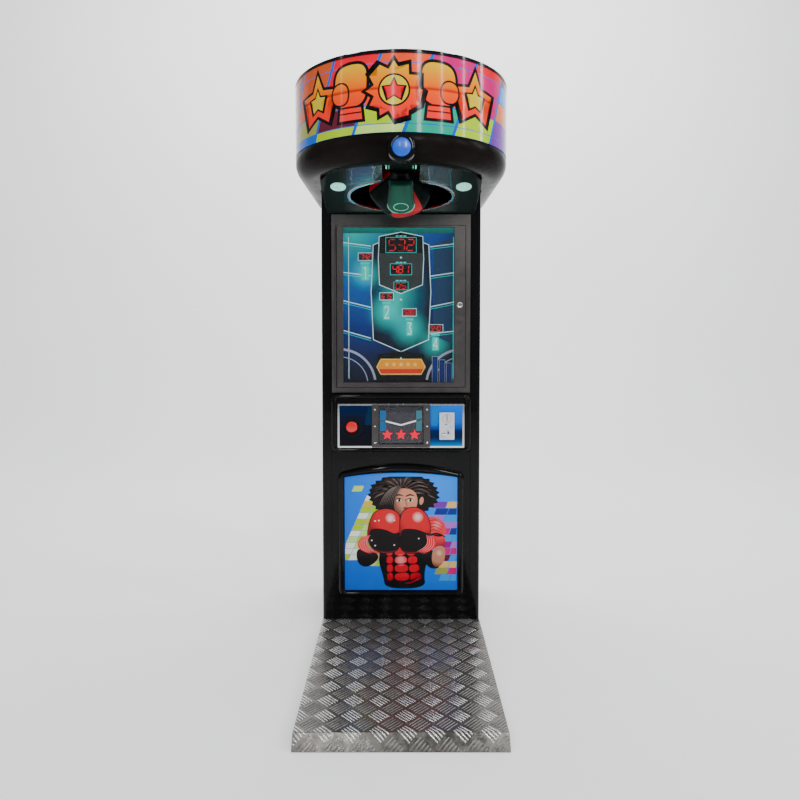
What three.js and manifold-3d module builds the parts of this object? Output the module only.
// Boxing punch machine, modelled as an assembly of separate pieces.
// Millimetres, +Z up, +X to the player's right, the front faces -Y.
// The origin is on the floor, under the middle of the whole machine.

import * as THREE from 'three';
import { mergeVertices } from 'three/addons/utils/BufferGeometryUtils.js';
import Module from 'manifold-3d';

const wasm = await Module();
wasm.setup();

// ---------------------------------------------------------------- driving sizes

const GAP = 0.3;                 // clearance between pieces that rest on each other
const COLUMN_HALF = 330;         // half of the column's width
const COLUMN_FRONT = 155;        // y of the column's front face
const COLUMN_BACK = 640;         // y of the column's back face
const REAR = 650;                // y of the rear door's and the head's back face
const BOARD = 18;                // thickness of the cabinet boards
const POST = 40;                 // width of the front corner posts
const HEAD_RADIUS = 410;         // radius of the head's round front
const HEAD_CENTRE = 55;          // y of the centre of that round front
const HEAD_TOP = 2195;
const HEAD_BOTTOM = 1833;        // underside of the head's rim
const BAND_BOTTOM = 1922;        // lower edge of the graphic band
const CAP = 8;                   // thickness of the head's top cover
const BULLNOSE = 65;             // radius of the skirt's rounded lower edge
const RAIL_TOP = 39.7;           // top of the base tubes
const RAIL_BOTTOM = 12;
const PLATE_TOP = 45;            // top of the tread plate
const PLATE_FRONT = -624;        // y where the plate folds down
const LIP_FRONT = -655;          // y of the lip's lower edge
const DOOR = { left: -265, right: 265, bottom: 1025, top: 1690 };
const DOOR_HINGE = { x: -270, y: 141 };
const GLASS = { left: -238, right: 219, bottom: 1045, top: 1682 };
const PIVOT = { y: -155, z: 1868 };          // the punch arm's shaft
const BAG_TILT = 22 * Math.PI / 180;         // arm below the horizontal at rest
const CEILING_TILT = 18 * Math.PI / 180;     // slope of the mirror panel
const CEILING_REAR = 1738;                   // z of the panel where it meets the column
const HOLE = { y: 17, half: 202, depth: 119 };   // oval opening in the mirror panel
const SLOT = { half: 68, front: -195 };          // the arm's slot, in front of the oval

// ---------------------------------------------------------------- colours

const paint = (color, roughness, metalness) => ({ color, roughness, metalness });
const BLACK_GLOSS = paint(0x0b0b0d, 0.18, 0.0);
const BLACK_SATIN = paint(0x141416, 0.5, 0.1);
const GUNMETAL = paint(0x4a4645, 0.35, 0.8);
const STEEL = paint(0x9a9c9f, 0.35, 0.9);
const ALUMINIUM = paint(0x8f9396, 0.4, 0.9);
const RUBBER = paint(0x161616, 0.8, 0.0);
const RED = paint(0xc81224, 0.35, 0.0);
const BLUE = paint(0x1263d6, 0.25, 0.0);
const GLASS_TINT = paint(0x8fb0ac, 0.05, 0.0);
const ART_BLUE = paint(0x0f4f9c, 0.3, 0.0);
const ART_ORANGE = paint(0xe06a1c, 0.25, 0.0);
const GREEN_BOARD = paint(0x1f5a34, 0.5, 0.0);
const LIGHT = paint(0xe9fbff, 0.2, 0.0);
const MIRROR_BLACK = paint(0x101214, 0.08, 0.4);

// ---------------------------------------------------------------- solids and cuts

const machine = new THREE.Group();

function add(name, geometry, look) {
  const material = new THREE.MeshStandardMaterial(look);
  const mesh = new THREE.Mesh(geometry, material);
  mesh.name = name;
  machine.add(mesh);
}

function solid(geometry) {
  const bare = geometry.clone();
  bare.deleteAttribute('normal');
  bare.deleteAttribute('uv');
  const merged = mergeVertices(bare, 1e-4);
  return new wasm.Manifold(new wasm.Mesh({
    numProp: 3,
    vertProperties: new Float32Array(merged.attributes.position.array),
    triVerts: new Uint32Array(merged.index.array),
  }));
}

function surface(manifold) {
  const mesh = manifold.getMesh();
  const geometry = new THREE.BufferGeometry();
  geometry.setAttribute('position', new THREE.BufferAttribute(mesh.vertProperties, 3));
  geometry.setIndex(new THREE.BufferAttribute(mesh.triVerts, 1));
  return geometry;
}

function cut(geometry, ...tools) {
  return surface(tools.reduce((body, tool) => body.subtract(solid(tool)), solid(geometry)));
}

function join(...pieces) {
  return surface(pieces.map(solid).reduce((body, piece) => body.add(piece)));
}

function common(geometry, tool) {
  return surface(solid(geometry).intersect(solid(tool)));
}

// ---------------------------------------------------------------- basic shapes

function box(x0, x1, y0, y1, z0, z1) {
  const geometry = new THREE.BoxGeometry(x1 - x0, y1 - y0, z1 - z0);
  return geometry.translate((x0 + x1) / 2, (y0 + y1) / 2, (z0 + z1) / 2);
}

// A round piece from a closed (radius, height) profile, about the vertical axis.
function turned(profile, segments = 24) {
  const points = profile.map(([r, h]) => new THREE.Vector2(r, h));
  points.push(points[0].clone());
  return new THREE.LatheGeometry(points, segments).rotateX(Math.PI / 2);
}

function rod(radius, from, to, segments = 20) {
  return turned([[0, from], [radius, from], [radius, to], [0, to]], segments);
}

function ring(inner, outer, from, to, segments = 20) {
  return turned([[inner, from], [outer, from], [outer, to], [inner, to]], segments);
}

// Turns a piece made about Z so that its top faces the player (-Y).
function facingFront(geometry, x, y, z) {
  return geometry.rotateX(Math.PI / 2).translate(x, y, z);
}

// Turns a piece made about Z so that it lies along X.
function alongX(geometry, x, y, z) {
  return geometry.rotateY(Math.PI / 2).translate(x, y, z);
}

// An (x, z) outline made into a panel between two y values.
function frontPanel(shape, yFront, yBack, curveSegments = 12) {
  const geometry = new THREE.ExtrudeGeometry(shape, {
    depth: yBack - yFront, bevelEnabled: false, curveSegments,
  });
  return geometry.rotateX(Math.PI / 2).translate(0, yBack, 0);
}

// An (x, y) outline made into a level plate between two z values.
function levelPlate(shape, z0, z1, curveSegments = 24) {
  const geometry = new THREE.ExtrudeGeometry(shape, {
    depth: z1 - z0, bevelEnabled: false, curveSegments,
  });
  return geometry.translate(0, 0, z0);
}

// A (y, z) outline made into a piece between two x values.
function sidePlate(shape, x0, x1, curveSegments = 16) {
  const geometry = new THREE.ExtrudeGeometry(shape, {
    depth: x1 - x0, bevelEnabled: false, curveSegments,
  });
  const turn = new THREE.Matrix4().makeBasis(
    new THREE.Vector3(0, 1, 0), new THREE.Vector3(0, 0, 1), new THREE.Vector3(1, 0, 0));
  return geometry.applyMatrix4(turn).translate(x0, 0, 0);
}

function outline(points) {
  return new THREE.Shape(points.map(([u, v]) => new THREE.Vector2(u, v)));
}

function rectangle(left, right, bottom, top, radius = 0) {
  if (radius === 0) {
    return outline([[left, bottom], [right, bottom], [right, top], [left, top]]);
  }
  const shape = new THREE.Shape();
  shape.absarc(right - radius, bottom + radius, radius, -Math.PI / 2, 0);
  shape.absarc(right - radius, top - radius, radius, 0, Math.PI / 2);
  shape.absarc(left + radius, top - radius, radius, Math.PI / 2, Math.PI);
  shape.absarc(left + radius, bottom + radius, radius, Math.PI, 1.5 * Math.PI);
  return shape;
}

function withHole(shape, hole) {
  shape.holes.push(hole);
  return shape;
}

// A rectangle whose top edge is a shallow arch.
function arched(half, bottom, shoulder, crown) {
  const rise = crown - shoulder;
  const radius = (half * half + rise * rise) / (2 * rise);
  const spread = Math.asin(half / radius);
  const shape = new THREE.Shape();
  shape.moveTo(-half, bottom);
  shape.lineTo(half, bottom);
  shape.absarc(0, crown - radius, radius, Math.PI / 2 - spread, Math.PI / 2 + spread);
  return shape;
}

// The head's plan: a half circle in front, straight sides to the given back line.
function headPlan(radius, back) {
  const shape = new THREE.Shape();
  shape.moveTo(radius, back);
  shape.lineTo(-radius, back);
  shape.absarc(0, HEAD_CENTRE, radius, Math.PI, 2 * Math.PI);
  return shape;
}

function bothSides(build) {
  for (const [side, sign] of [['left', -1], ['right', 1]]) {
    build(side, sign);
  }
}

// A box given by its distances from the centre plane, on the side of the sign.
function sideBox(sign, inner, outer, y0, y1, z0, z1) {
  return box(Math.min(sign * inner, sign * outer), Math.max(sign * inner, sign * outer), y0, y1, z0, z1);
}

// ---------------------------------------------------------------- base

function base() {
  bothSides((side, sign) => {
    const middle = COLUMN_HALF - POST / 2;
    const feet = [-560, 175, 530].map((y) => turned([
      [0, 0], [20, 0], [20, 6], [8, 9], [8, RAIL_BOTTOM + 1], [0, RAIL_BOTTOM + 1],
    ], 12).translate(sign * middle, y, 0));
    const tube = sideBox(sign, COLUMN_HALF - POST, COLUMN_HALF, -612, 560, RAIL_BOTTOM, RAIL_TOP);
    add(`base_rail_${side}`, join(tube, ...feet), BLACK_SATIN);
  });
  const reach = COLUMN_HALF - POST - GAP;
  add('base_cross', box(-reach, reach, -260, -260 + POST, RAIL_BOTTOM, RAIL_TOP), BLACK_SATIN);
  const sheet = 5;
  const lip = LIP_FRONT + 6.5;
  const profile = outline([
    [COLUMN_FRONT - GAP, PLATE_TOP], [PLATE_FRONT, PLATE_TOP], [LIP_FRONT, 1], [lip, 1],
    [PLATE_FRONT + 3, PLATE_TOP - sheet], [COLUMN_FRONT - GAP, PLATE_TOP - sheet],
  ]);
  add('tread_plate', sidePlate(profile, -COLUMN_HALF, COLUMN_HALF), ALUMINIUM);
}

// ---------------------------------------------------------------- transport wheels

function transportWheels() {
  const axle = { y: 615, z: 48 };
  const wheelRadius = 40;
  const boreRadius = 6.3;
  add('wheel_axle', alongX(rod(6, -306, 306, 16), 0, axle.y, axle.z), STEEL);
  bothSides((side, sign) => {
    const tyre = turned([
      [boreRadius, -14], [30, -14], [wheelRadius - 3, -12], [wheelRadius, -8],
      [wheelRadius, 8], [wheelRadius - 3, 12], [30, 14], [boreRadius, 14],
    ], 20);
    add(`wheel_${side}`, alongX(tyre, sign * 276, axle.y, axle.z), RUBBER);
  });
  const cheeks = [-296, -260, 256, 292].map((x) => box(x, x + 4, 598, 632, 36, 92));
  const carrier = join(box(-296, 296, 598, 632, 90, 94.7), ...cheeks);
  const bore = alongX(rod(boreRadius, -320, 320, 16), 0, axle.y, axle.z);
  add('wheel_carrier', cut(carrier, bore), STEEL);
}

// ---------------------------------------------------------------- column

const FLOOR_TOP = 113;
const PANEL_BACK = COLUMN_FRONT + BOARD;
const INSIDE = COLUMN_HALF - BOARD - GAP;
const FRONT_HALF = COLUMN_HALF - POST - GAP;
const SERVICE = { left: -230, right: 230, bottom: 250, top: 1650 };
const CHUTE = { half: 96, bottom: 788, top: 954 };
const COIN = { left: 165, right: 212, bottom: 820, top: 916 };
const RED_BUTTON = { x: -202, z: 865 };
const REAR_HINGE = { x: -243.5, y: 642.5 };

function column() {
  const top = 2005;
  const postTop = HEAD_BOTTOM - GAP;
  const bottom = RAIL_TOP + GAP;
  bothSides((side, sign) => {
    const edge = 15;
    const plan = new THREE.Shape();
    plan.moveTo(COLUMN_HALF - POST, COLUMN_FRONT + POST);
    plan.lineTo(COLUMN_HALF - POST, COLUMN_FRONT);
    plan.absarc(COLUMN_HALF - edge, COLUMN_FRONT + edge, edge, -Math.PI / 2, 0);
    plan.lineTo(COLUMN_HALF, COLUMN_FRONT + POST);
    const points = plan.getPoints(6).map((p) => [sign * p.x, p.y]);
    const post = levelPlate(outline(sign > 0 ? points : points.reverse()), bottom, postTop);
    const board = sideBox(sign, COLUMN_HALF - BOARD, COLUMN_HALF, COLUMN_FRONT + POST - 1, COLUMN_BACK,
      bottom, top);
    add(`side_panel_${side}`, join(post, board), BLACK_GLOSS);
  });
  const floor = box(-INSIDE, INSIDE, PANEL_BACK + GAP, COLUMN_BACK - BOARD - GAP, FLOOR_TOP - BOARD, FLOOR_TOP);
  const notches = [-1, 1].map((sign) => sideBox(sign, FRONT_HALF, 400, 100, COLUMN_FRONT + POST + GAP, 0, 200));
  add('floor_board', cut(floor, ...notches), BLACK_SATIN);
  add('front_panel_lower', box(-FRONT_HALF, FRONT_HALF, COLUMN_FRONT, PANEL_BACK, bottom, 755), BLACK_GLOSS);

  const middle = box(-FRONT_HALF, FRONT_HALF, COLUMN_FRONT, PANEL_BACK, 755 + GAP, 1003 - GAP);
  add('front_panel_middle', cut(middle,
    box(-CHUTE.half, CHUTE.half, 100, 200, CHUTE.bottom, CHUTE.top),
    box(COIN.left, COIN.right, 100, 200, COIN.bottom, COIN.top)), BLACK_GLOSS);

  const back = withHole(rectangle(-INSIDE, INSIDE, FLOOR_TOP - BOARD, 1990),
    rectangle(SERVICE.left, SERVICE.right, SERVICE.bottom, SERVICE.top));
  const inlet = box(150, 210, 600, 700, 150, 190);
  const hinge = rod(3.5, SERVICE.bottom - 5, SERVICE.top + 5, 16)
    .translate(REAR_HINGE.x, REAR_HINGE.y, 0);
  add('rear_panel', cut(join(frontPanel(back, COLUMN_BACK - BOARD, COLUMN_BACK), hinge), inlet),
    BLACK_GLOSS);
}

// ---------------------------------------------------------------- lower picture

function lowerPicture() {
  const bezel = arched(263, 148.5, 673, 705);
  const sight = arched(236, 172, 650, 667);
  add('lower_bezel', frontPanel(withHole(bezel, sight), 131, COLUMN_FRONT - GAP, 16), BLACK_GLOSS);
  const panel = arched(235.5, 172.5, 649.5, 666.5);
  add('lower_picture', frontPanel(panel, 144, 149, 16), ART_BLUE);
}

// ---------------------------------------------------------------- control panel

function controls() {
  const front = 116;
  const pocket = 121;
  const chuteHole = () => box(-CHUTE.half, CHUTE.half, 90, 200, CHUTE.bottom, CHUTE.top);
  const coinHole = () => box(COIN.left, COIN.right, 90, 200, COIN.bottom, COIN.top);
  const buttonHole = () => facingFront(rod(26.3, -60, 38), RED_BUTTON.x, 130, RED_BUTTON.z);

  const body = frontPanel(rectangle(-285, 285, 761, 997, 24), front, COLUMN_FRONT - GAP, 6);
  const recess = frontPanel(rectangle(-262, 262, 776, 961, 10), front - 10, pocket, 4);
  add('control_housing', cut(body, recess, chuteHole(), coinHole(), buttonHole()), BLACK_GLOSS);

  const plate = frontPanel(rectangle(-260, 260, 778, 959, 8), pocket - 2.5, pocket - GAP, 4);
  add('control_plate', cut(plate, chuteHole(), coinHole(), buttonHole()), STEEL);

  const hinge = { y: 120.5, z: 943 };
  const frame = withHole(rectangle(-120, 120, 780, 957), rectangle(-92, 92, 793, 950));
  const lugs = [-95.5, 92].map((x) => box(x, x + 3.5, 113, 124, hinge.z - 5, hinge.z + 5));
  const pin = alongX(rod(2, -94, 94, 12), 0, hinge.y, hinge.z);
  const framePanel = frontPanel(frame, 112, pocket - 2.5 - GAP);
  add('prize_frame', join(framePanel, ...lugs, pin), GUNMETAL);

  const flap = join(
    box(-90, 90, 119, 122, 796, hinge.z),
    alongX(rod(5, -90, 90, 20), 0, hinge.y, hinge.z));
  add('prize_flap', cut(flap, alongX(rod(2.3, -100, 100, 12), 0, hinge.y, hinge.z)), GLASS_TINT);

  const chute = cut(
    box(-100, 100, PANEL_BACK + GAP, 340, 784, 956),
    box(-98, 98, 100, 338, 786, 954),
    box(-98, 98, 270, 338, 786, 1000));
  add('prize_chute', chute, STEEL);

  const bezel = join(ring(23.3, 29, 0, 6), ring(23.3, 26, -30, 1));
  add('red_button_ring', facingFront(bezel, RED_BUTTON.x, pocket - 2.5 - GAP, RED_BUTTON.z), BLACK_GLOSS);
  const cap = turned([[0, -18], [23, -18], [23, 10], [19, 13.5], [0, 15]], 20);
  add('red_button', facingFront(cap, RED_BUTTON.x, pocket - 2.5 - GAP, RED_BUTTON.z), RED);

  const coinPlate = frontPanel(rectangle(158, 219, 812, 924, 3), 112, pocket - 2.5 - GAP, 3);
  const slot = box(187, 190.4, 90, 150, 888, 918);
  const returnHole = facingFront(rod(8.3, -40, 40), 176, 130, 832);
  add('coin_plate', cut(coinPlate, slot, returnHole), ALUMINIUM);
  const returnCap = turned([[0, -6], [8, -6], [8, 7], [6.5, 8.5], [0, 8.5]], 16);
  add('coin_return_button', facingFront(returnCap, 176, 112, 832), STEEL);
  add('coin_mech', box(COIN.left + 1, COIN.right - 1, 124, 262, COIN.bottom + 1, COIN.top - 1), BLACK_SATIN);
}

// ---------------------------------------------------------------- score display and its door

function displayDoor() {
  const front = 143;
  const frame = withHole(rectangle(-286, 286, 1003, 1735),
    rectangle(DOOR.left - 1.5, DOOR.right + 1.5, DOOR.bottom - 1.5, DOOR.top + 1.5));
  const hinge = rod(3.5, DOOR.bottom + 5, DOOR.top - 5, 16).translate(DOOR_HINGE.x, DOOR_HINGE.y, 0);
  add('display_frame', join(frontPanel(frame, front, PANEL_BACK), hinge), GUNMETAL);

  const lock = { x: 242, z: 1366 };
  const leaf = withHole(rectangle(DOOR.left, DOOR.right, DOOR.bottom, DOOR.top),
    rectangle(GLASS.left, GLASS.right, GLASS.bottom, GLASS.top));
  const barrel = facingFront(rod(9.5, -30, 3), lock.x, front, lock.z);
  const bore = facingFront(rod(6.3, -60, 60), lock.x, front, lock.z);
  add('door_leaf', cut(join(frontPanel(leaf, front, front + 20), barrel), bore), GUNMETAL);
  add('door_glass', box(GLASS.left - 6, GLASS.right + 4, front + 20 + GAP, front + 24 + GAP,
    GLASS.bottom - 6, GLASS.top + 6), GLASS_TINT);
  const plug = join(facingFront(rod(6, -35, 4.5), lock.x, front, lock.z),
    box(lock.x - 5, lock.x + 5, 175, 178, lock.z - 32, lock.z + 7));
  add('door_lock_cam', plug, STEEL);
}

function scoreDisplay() {
  const half = 262;
  const wall = 2.5;
  const liner = withHole(rectangle(-half, half, 1028, 1712),
    rectangle(-half + wall, half - wall, 1028 + wall, 1712 - wall));
  add('display_case', frontPanel(liner, 180, 211.7), BLACK_SATIN);

  const windows = [
    [-62, 62, 1589, 1648], [-43, 43, 1496, 1538], [-28, 28, 1433, 1462],
    [-177, -123, 1556, 1583], [-87, -34, 1391, 1416], [9, 62, 1323, 1349], [120, 174, 1256, 1282],
  ];
  const holes = windows.map(([x0, x1, z0, z1]) => box(x0, x1, 200, 230, z0, z1));
  add('score_board', cut(box(-half, half, 212, 216, 1028, 1712), ...holes), ART_BLUE);
  const blocks = windows.map(([x0, x1, z0, z1]) => box(x0 + GAP, x1 - GAP, 211, 226, z0 + GAP, z1 - GAP));
  add('display_module', join(box(-185, 185, 225, 228, 1250, 1655), ...blocks), RED);
}

// ---------------------------------------------------------------- inside and behind the column

function insideColumn() {
  const shelf = FLOOR_TOP + GAP;
  add('cash_box', cut(box(120, 260, 220, 400, shelf, 300), box(122, 258, 222, 398, shelf + 2, 400)), STEEL);
  add('power_supply', box(-250, -90, 300, 480, shelf, 175), STEEL);
  add('control_board', box(-INSIDE, -INSIDE + 4, 300, 560, 1180, 1500), GREEN_BOARD);
  const inlet = cut(box(150.3, 209.7, 612, 644, 150.3, 189.7), box(166, 194, 630, 700, 161, 179));
  add('power_inlet', inlet, BLACK_SATIN);

  const lock = { x: 214, z: 950 };
  const leaf = box(-238, 238, COLUMN_BACK + GAP, REAR, 242, 1658);
  const bore = facingFront(rod(6.3, -60, 60), lock.x, COLUMN_BACK, lock.z);
  add('rear_door', cut(leaf, bore), BLACK_GLOSS);
  const plug = join(facingFront(rod(6, -12, 28), lock.x, COLUMN_BACK, lock.z),
    box(lock.x - 5, lock.x + 5, 612, 615, lock.z - 32, lock.z + 7));
  add('rear_lock_cam', plug, STEEL);
}

// ---------------------------------------------------------------- head casing

function arc(centreR, centreZ, radius, from, to, steps) {
  return Array.from({ length: steps + 1 }, (_, i) => {
    const angle = from + (to - from) * i / steps;
    return [centreR + radius * Math.cos(angle), centreZ + radius * Math.sin(angle)];
  });
}

function headCasing() {
  add('head_top_cover', levelPlate(headPlan(HEAD_RADIUS, REAR), HEAD_TOP - CAP, HEAD_TOP, 32), BLACK_GLOSS);

  const bandTop = HEAD_TOP - CAP - GAP;
  const bandBottom = BAND_BOTTOM + GAP;
  const thickness = 5;
  const band = new THREE.Shape();
  band.absarc(0, HEAD_CENTRE, HEAD_RADIUS, Math.PI, 2 * Math.PI);
  band.absarc(0, HEAD_CENTRE, HEAD_RADIUS - thickness, 2 * Math.PI, Math.PI, true);
  add('marquee_panel', levelPlate(band, bandBottom, bandTop, 32), ART_ORANGE);
  const sides = [-1, 1].map((sign) => sideBox(sign, HEAD_RADIUS - thickness, HEAD_RADIUS,
    HEAD_CENTRE + GAP, REAR, bandBottom, bandTop));
  const rear = box(-HEAD_RADIUS + 1, HEAD_RADIUS - 1, COLUMN_BACK + GAP, REAR, bandBottom, bandTop);
  add('head_back_shell', join(rear, ...sides), BLACK_GLOSS);

  const wall = 6;
  const rim = HEAD_RADIUS - BULLNOSE;
  const nose = HEAD_BOTTOM + BULLNOSE;
  const inner = 333;
  const section = [
    [inner, HEAD_BOTTOM], ...arc(rim, nose, BULLNOSE, -Math.PI / 2, 0, 5), [HEAD_RADIUS, BAND_BOTTOM],
    [HEAD_RADIUS - wall, BAND_BOTTOM], [HEAD_RADIUS - wall, nose + 7],
    [rim - 7, HEAD_BOTTOM + wall], [inner, HEAD_BOTTOM + wall],
  ];
  const hoop = turned(section, 48).translate(0, HEAD_CENTRE, 0);
  const frontHalf = box(-500, 500, -500, HEAD_CENTRE, 1500, 2500);
  const flank = (sign) => {
    const points = section.map(([r, z]) => [sign * r, z]);
    const shape = outline(sign > 0 ? points : points.reverse());
    return frontPanel(shape, HEAD_CENTRE, REAR, 1);
  };
  const caps = [-1, 1].map((sign) => {
    const points = [[COLUMN_HALF + GAP, HEAD_BOTTOM], ...arc(rim, nose, BULLNOSE, -Math.PI / 2, 0, 5),
      [HEAD_RADIUS, BAND_BOTTOM], [COLUMN_HALF + GAP, BAND_BOTTOM]].map(([r, z]) => [sign * r, z]);
    return frontPanel(outline(sign > 0 ? points : points.reverse()), REAR - wall, REAR, 1);
  });
  const plate = cut(levelPlate(headPlan(rim, REAR), HEAD_BOTTOM, HEAD_BOTTOM + wall, 24),
    common(levelPlate(headPlan(inner, REAR), 1800, 1900, 24), box(-306, 306, -400, COLUMN_FRONT, 1800, 1900)),
    box(-COLUMN_HALF - GAP, COLUMN_HALF + GAP, COLUMN_FRONT - 1, 700, 1800, 1900));
  const boss = facingFront(rod(START.hole, -60, 60, 24), START.x, START.y, START.z);
  const skirt = join(common(hoop, frontHalf), flank(-1), flank(1), plate, ...caps);
  add('head_skirt', cut(skirt, boss), BLACK_GLOSS);
}

// ---------------------------------------------------------------- blue start button

const START = { x: 2, y: -352, z: 1868, hole: 45.3 };

function startButton() {
  const housing = turned([
    [32.3, -30], [45, -30], [45, 2], [49, 2], [50, 8], [46, 19], [40, 22], [32.3, 22],
  ], 24);
  const seated = cut(facingFront(housing, START.x, START.y, START.z),
    common(turned([[0, 1800], [HEAD_RADIUS, 1800], [HEAD_RADIUS, 1950], [0, 1950]], 48)
      .translate(0, HEAD_CENTRE, 0), box(-80, 80, -400, -300, 1900, 1940)));
  add('start_button_housing', seated, BLACK_GLOSS);
  const lens = turned([[0, -16], [32, -16], [32, 22], [29, 27], [18, 30.5], [0, 32]], 24);
  add('start_button', facingFront(lens, START.x, START.y, START.z), BLUE);
}

// ---------------------------------------------------------------- mirror ceiling under the head

const LAMP_Y = -55;

// Places a piece made about Z on the slope, its top towards the room below.
function onSlope(geometry, x, y, drop) {
  const z = CEILING_REAR + (COLUMN_FRONT - y) * Math.tan(CEILING_TILT) - drop;
  return geometry.rotateX(Math.PI - CEILING_TILT).translate(x, y, z);
}

function ceiling() {
  const half = 303;
  const rise = (y) => CEILING_REAR + (COLUMN_FRONT - y) * Math.tan(CEILING_TILT);
  const far = -330;
  const near = COLUMN_FRONT - GAP;
  const sheet = 4;
  const panel = sidePlate(outline([
    [near, rise(near)], [near, rise(near) + sheet], [far, rise(far) + sheet], [far, rise(far)],
  ]), -half, half);
  const cheekTop = HEAD_BOTTOM + 20;
  const cheeks = [-1, 1].map((sign) => sidePlate(outline([
    [near, rise(near)], [near, cheekTop], [-140, cheekTop], [-140, rise(-140)],
  ]), sign > 0 ? half - 3 : -half, sign > 0 ? half : -half + 3));
  const trimmed = common(join(panel, ...cheeks), levelPlate(headPlan(332, REAR), 1600, 2000, 16));
  const squeeze = HOLE.depth / HOLE.half;
  const oval = (geometry) => onSlope(geometry.scale(1, squeeze, 1), 0, HOLE.y, 0);
  const reach = (HOLE.y - SLOT.front) / Math.cos(CEILING_TILT);
  const slot = (margin) => onSlope(box(-SLOT.half + margin, SLOT.half - margin, 0, reach - margin, -60, 60),
    0, HOLE.y, 0);
  const lamp = (sign) => onSlope(rod(25.3, -60, 60, 16), sign * 238, LAMP_Y, 0);
  add('ceiling_panel', cut(trimmed, oval(rod(HOLE.half, -60, 60, 36)), slot(0), lamp(-1), lamp(1)),
    MIRROR_BLACK);

  const r = HOLE.half;
  const trim = turned([[r - 4, -6], [r - 1, -6], [r - 1, GAP], [r + 8, GAP], [r + 7, 3], [r - 4, 3]], 36);
  add('recess_ring', cut(oval(trim), slot(-8)), STEEL);
  bothSides((side, sign) => {
    const fitting = turned([[0, -24], [25, -24], [25, GAP], [30, GAP], [29, 4], [22, 4], [20, 1], [0, 1]], 16);
    add(`downlight_${side}`, onSlope(fitting, sign * 238, LAMP_Y, 0), LIGHT);
  });
}

// ---------------------------------------------------------------- structure inside the head

function headFrame() {
  const deck = 2005.3;
  const beams = [-1, 1].map((sign) => sideBox(sign, COLUMN_HALF - POST, COLUMN_HALF, -150, 618, deck, 2045));
  const plan = outline([[-330, 150], [-330, -150], [-200, -262], [200, -262], [330, -150], [330, 150]]);
  add('head_frame', join(levelPlate(plan, deck - 6, deck + 1), ...beams), BLACK_SATIN);
  const hanger = deck - 6 - GAP;
  add('latch_solenoid', box(-25, 25, -90, -35, 1935, hanger - 4 - GAP), STEEL);
  add('stop_block', box(-20, 20, -138, -112, 1920, hanger - 4 - GAP), RUBBER);

  const cheek = new THREE.Shape();
  const toe = 24;
  cheek.moveTo(PIVOT.y + 60, hanger);
  cheek.lineTo(PIVOT.y - 32, hanger);
  cheek.lineTo(PIVOT.y - toe, PIVOT.z);
  cheek.absarc(PIVOT.y, PIVOT.z, toe, Math.PI, 2 * Math.PI);
  const bracket = join(sidePlate(cheek, 45, 51), sidePlate(cheek, -51, -45),
    box(-51, 51, PIVOT.y - 32, -30, hanger - 4, hanger));
  const bore = alongX(rod(20.3, -80, 80, 20), 0, PIVOT.y, PIVOT.z);
  add('pivot_bracket', cut(bracket, bore), STEEL);
  bothSides((side, sign) => {
    add(`bearing_${side}`, alongX(ring(10.3, 20, -6.5, 6.5, 20), sign * 49.5, PIVOT.y, PIVOT.z), STEEL);
  });
  add('speed_sensor', box(51 + GAP, 74, PIVOT.y - 22, PIVOT.y + 22, 1890, 1920), BLACK_SATIN);
}

// ---------------------------------------------------------------- punch arm and bag

// Lays a piece made about Z along the arm, so that its height is the distance from the shaft.
function alongArm(geometry) {
  const c = Math.cos(BAG_TILT);
  const s = Math.sin(BAG_TILT);
  const turn = new THREE.Matrix4().makeBasis(
    new THREE.Vector3(1, 0, 0), new THREE.Vector3(0, -s, -c), new THREE.Vector3(0, c, -s));
  return geometry.applyMatrix4(turn).translate(0, PIVOT.y, PIVOT.z);
}

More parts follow.
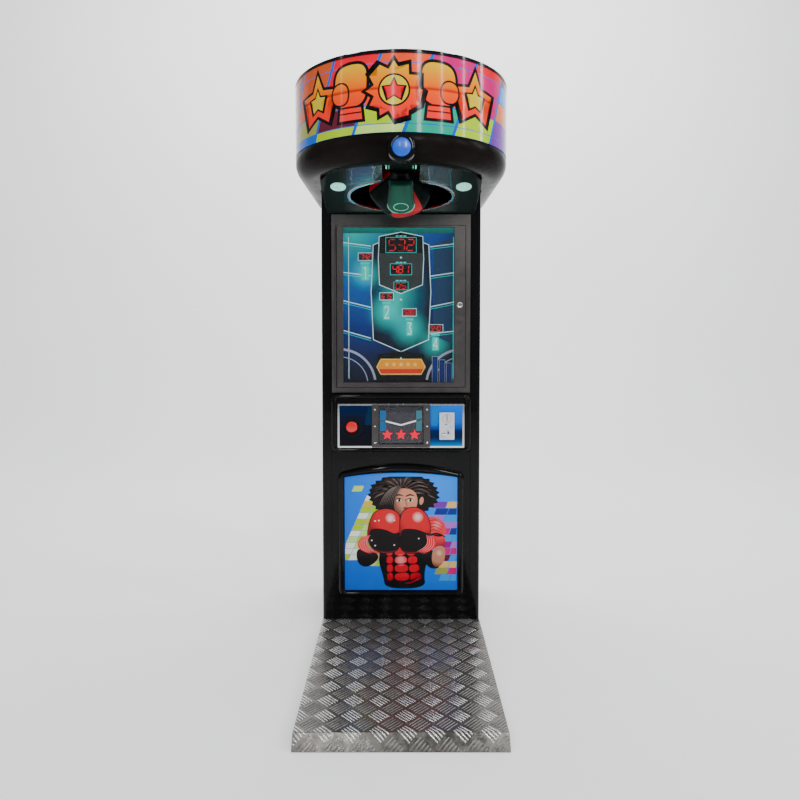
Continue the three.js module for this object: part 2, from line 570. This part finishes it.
// A closed six-sided body through rings of [distance, radius].
function sixSided(rings, twist) {
  const points = [];
  const faces = [];
  const sides = 6;
  for (const [distance, radius] of rings) {
    for (let k = 0; k < sides; k += 1) {
      const angle = twist + k * Math.PI / 3;
      points.push(radius * Math.cos(angle), radius * Math.sin(angle), distance);
    }
  }
  const low = points.length / 3;
  points.push(0, 0, rings[0][0], 0, 0, rings[rings.length - 1][0]);
  for (let k = 0; k < sides; k += 1) {
    const next = (k + 1) % sides;
    faces.push(low, next, k);
    for (let i = 0; i + 1 < rings.length; i += 1) {
      const a = i * sides;
      const b = a + sides;
      faces.push(a + k, a + next, b + next, a + k, b + next, b + k);
    }
    const last = (rings.length - 1) * sides;
    faces.push(low + 1, last + k, last + next);
  }
  const geometry = new THREE.BufferGeometry();
  geometry.setAttribute('position', new THREE.Float32BufferAttribute(points, 3));
  geometry.setIndex(faces);
  return geometry;
}

function punchArm() {
  add('pivot_shaft', alongX(rod(10, -62, 62, 20), 0, PIVOT.y, PIVOT.z), STEEL);
  const hub = alongX(rod(22, -40, 40, 20), 0, PIVOT.y, PIVOT.z);
  const lever = alongArm(box(-6, 6, -8, 8, -86, -12));
  const stem = alongArm(rod(13, 12, 262, 12));
  const bore = alongX(rod(10.3, -60, 60, 20), 0, PIVOT.y, PIVOT.z);
  add('punch_arm', cut(join(hub, lever, stem), bore), STEEL);

  const shape = [
    [26, 26], [40, 34], [64, 48], [100, 82], [130, 115], [150, 128],
    [175, 121], [210, 103], [250, 77], [285, 44],
  ];
  const twist = -12 * Math.PI / 180;
  const grown = (extra) => sixSided(shape.map(([d, r]) => [d, r + extra]), twist);
  add('bag_cover', alongArm(cut(grown(0), rod(13.6, 20, 268, 12))), RED);

  const pad = new THREE.Shape();
  pad.moveTo(-54, 96);
  pad.lineTo(-43, 0);
  pad.lineTo(43, 0);
  pad.lineTo(54, 96);
  pad.absellipse(0, 96, 54, 26, 0, Math.PI, false);
  const slab = new THREE.ExtrudeGeometry(pad, { depth: 40, bevelEnabled: false, curveSegments: 8 });
  const lean = 41 * Math.PI / 180;
  slab.rotateX(Math.PI / 2 - lean).translate(0, 52, 26);
  add('bag_front_pad', alongArm(cut(slab, grown(0.4))), BLACK_SATIN);
}

base();
transportWheels();
column();
lowerPicture();
controls();
displayDoor();
scoreDisplay();
insideColumn();
headCasing();
startButton();
ceiling();
headFrame();
punchArm();

export default machine;
